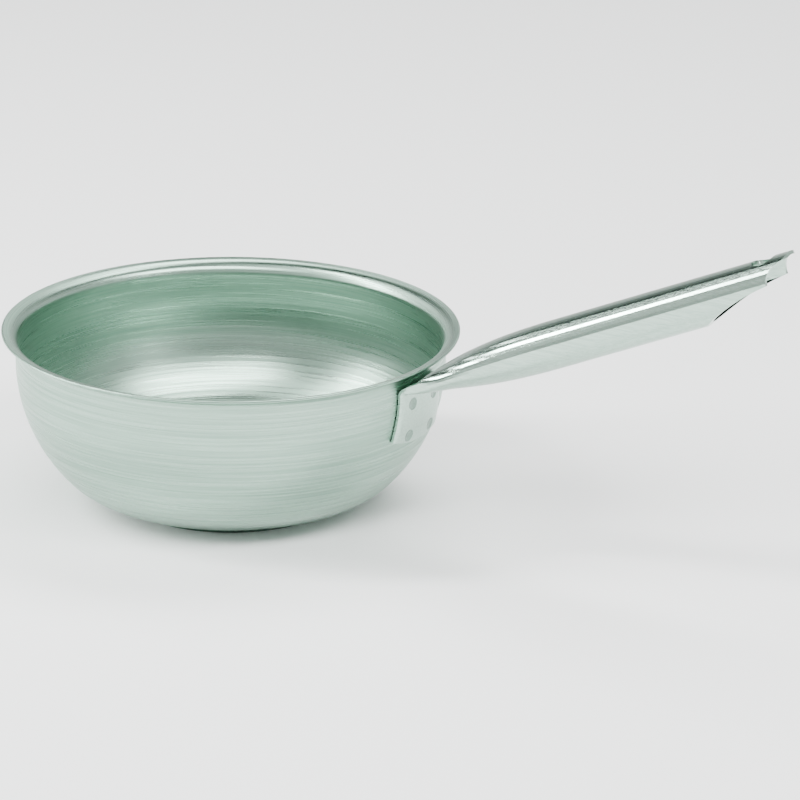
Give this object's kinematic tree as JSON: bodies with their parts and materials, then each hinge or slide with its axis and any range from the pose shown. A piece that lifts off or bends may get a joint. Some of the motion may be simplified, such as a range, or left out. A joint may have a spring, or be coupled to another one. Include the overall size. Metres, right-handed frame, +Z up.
{
  "type": "saucier pan",
  "caption": "Round steel saucier pan with a curved wall, a rolled pouring lip, a capped sandwich base and a long tube handle with a hanging hole.",
  "frame": {"origin": "centre of the base's resting face, on the axis of the bowl", "axes": "+Z up along the axis of the bowl, +X out along the handle, +Y to the left of the handle seen from the bowl"},
  "size_m": [0.3794, 0.206, 0.1618],
  "materials": {
    "bowl_steel": "fine brush lines round the axis",
    "core_aluminium": "plain rolled",
    "cap_steel": "satin",
    "handle_steel": "polished, with a faint lengthwise grain",
    "weld_steel": "pressed and slightly dulled"
  },
  "bodies": {
    "root": {"bowl": "bowl_steel", "base_core": "core_aluminium", "base_cap": "cap_steel", "handle": "handle_steel", "spot_welds": "weld_steel"}
  },
  "joints": []
}
